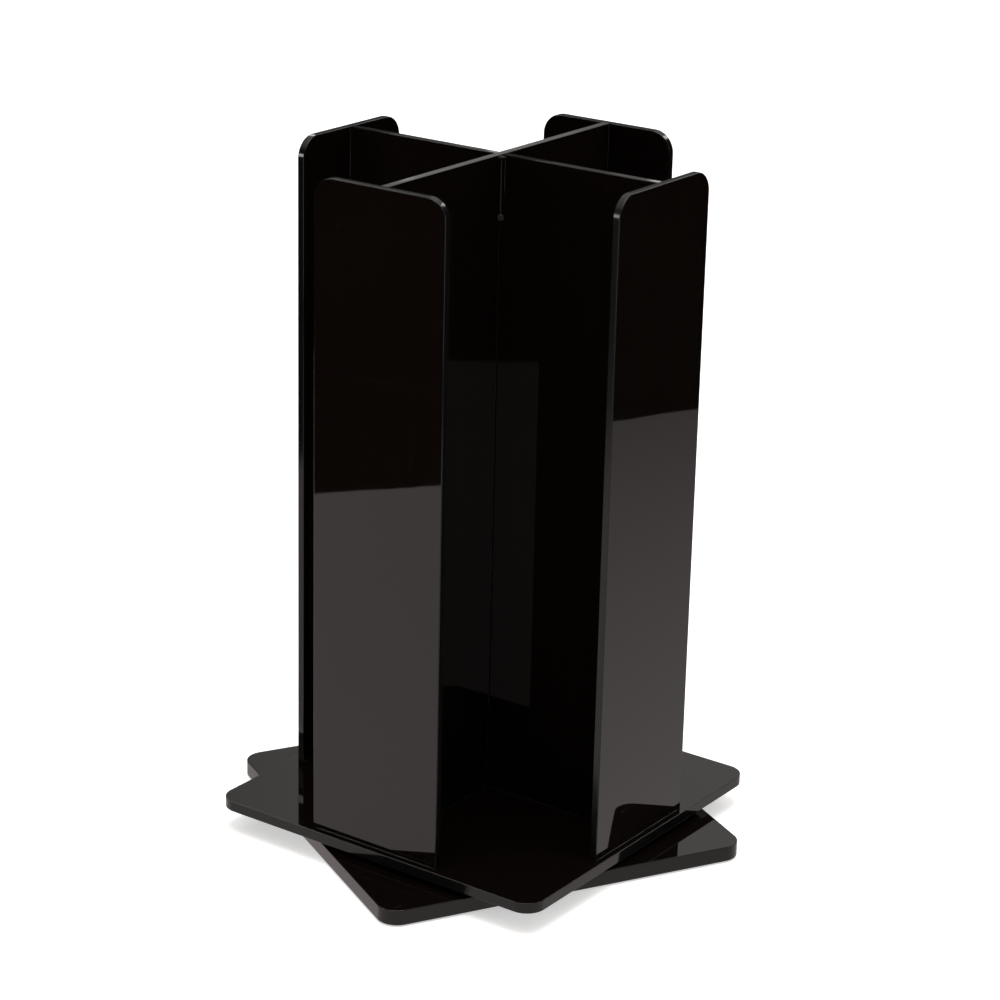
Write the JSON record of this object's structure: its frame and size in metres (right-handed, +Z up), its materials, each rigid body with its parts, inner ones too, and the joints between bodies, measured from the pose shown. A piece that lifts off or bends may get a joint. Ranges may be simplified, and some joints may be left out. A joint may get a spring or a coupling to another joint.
{
  "type": "rotating cup organiser",
  "caption": "Countertop rotating organiser: square turntable on a low ball bearing, crossing dividers and tall end panels that form open corner bays for stacked cups and lids.",
  "frame": {"origin": "on the spin axis, at the surface that the feet stand on", "axes": "+Z up along the spin axis; the front panel faces -Y and the right panel faces +X at rest"},
  "size_m": [0.302, 0.302, 0.4069],
  "materials": {
    "black_acrylic": "high-gloss cast acrylic sheet with sawn and polished edges",
    "bearing_steel": "zinc-plated pressed steel",
    "screw_steel": "zinc-plated screws",
    "rivet_steel": "turned hollow rivet, satin",
    "ball_steel": "polished chrome-steel balls with a film of grease",
    "cage_nylon": "natural nylon",
    "foot_rubber": "matt black rubber"
  },
  "bodies": {
    "base": {"base_plate": "black_acrylic", "left_foot": "foot_rubber", "front_foot": "foot_rubber", "right_foot": "foot_rubber", "rear_foot": "foot_rubber", "bearing_lower_plate": "bearing_steel", "bearing_rivet": "rivet_steel", "lower_screws": "screw_steel"},
    "ball_set": {"bearing_balls": "ball_steel", "bearing_cage": "cage_nylon"},
    "turntable": {"bearing_upper_plate": "bearing_steel", "upper_screws": "screw_steel", "turntable_plate": "black_acrylic", "front_back_divider": "black_acrylic", "left_right_divider": "black_acrylic", "front_panel": "black_acrylic", "right_panel": "black_acrylic", "rear_panel": "black_acrylic", "left_panel": "black_acrylic"}
  },
  "joints": [
    {"name": "turntable_spin", "type": "hinge", "parent": "base", "child": "turntable", "pos_m": [0, 0, 0.01192], "axis": [0, 0, 1], "continuous": true},
    {"name": "ball_orbit", "type": "hinge", "parent": "base", "child": "ball_set", "pos_m": [0, 0, 0.01192], "axis": [0, 0, 1], "continuous": true}
  ],
  "couplings": [
    {"joint": "ball_orbit", "follows": "turntable_spin", "ratio": 0.5}
  ]
}
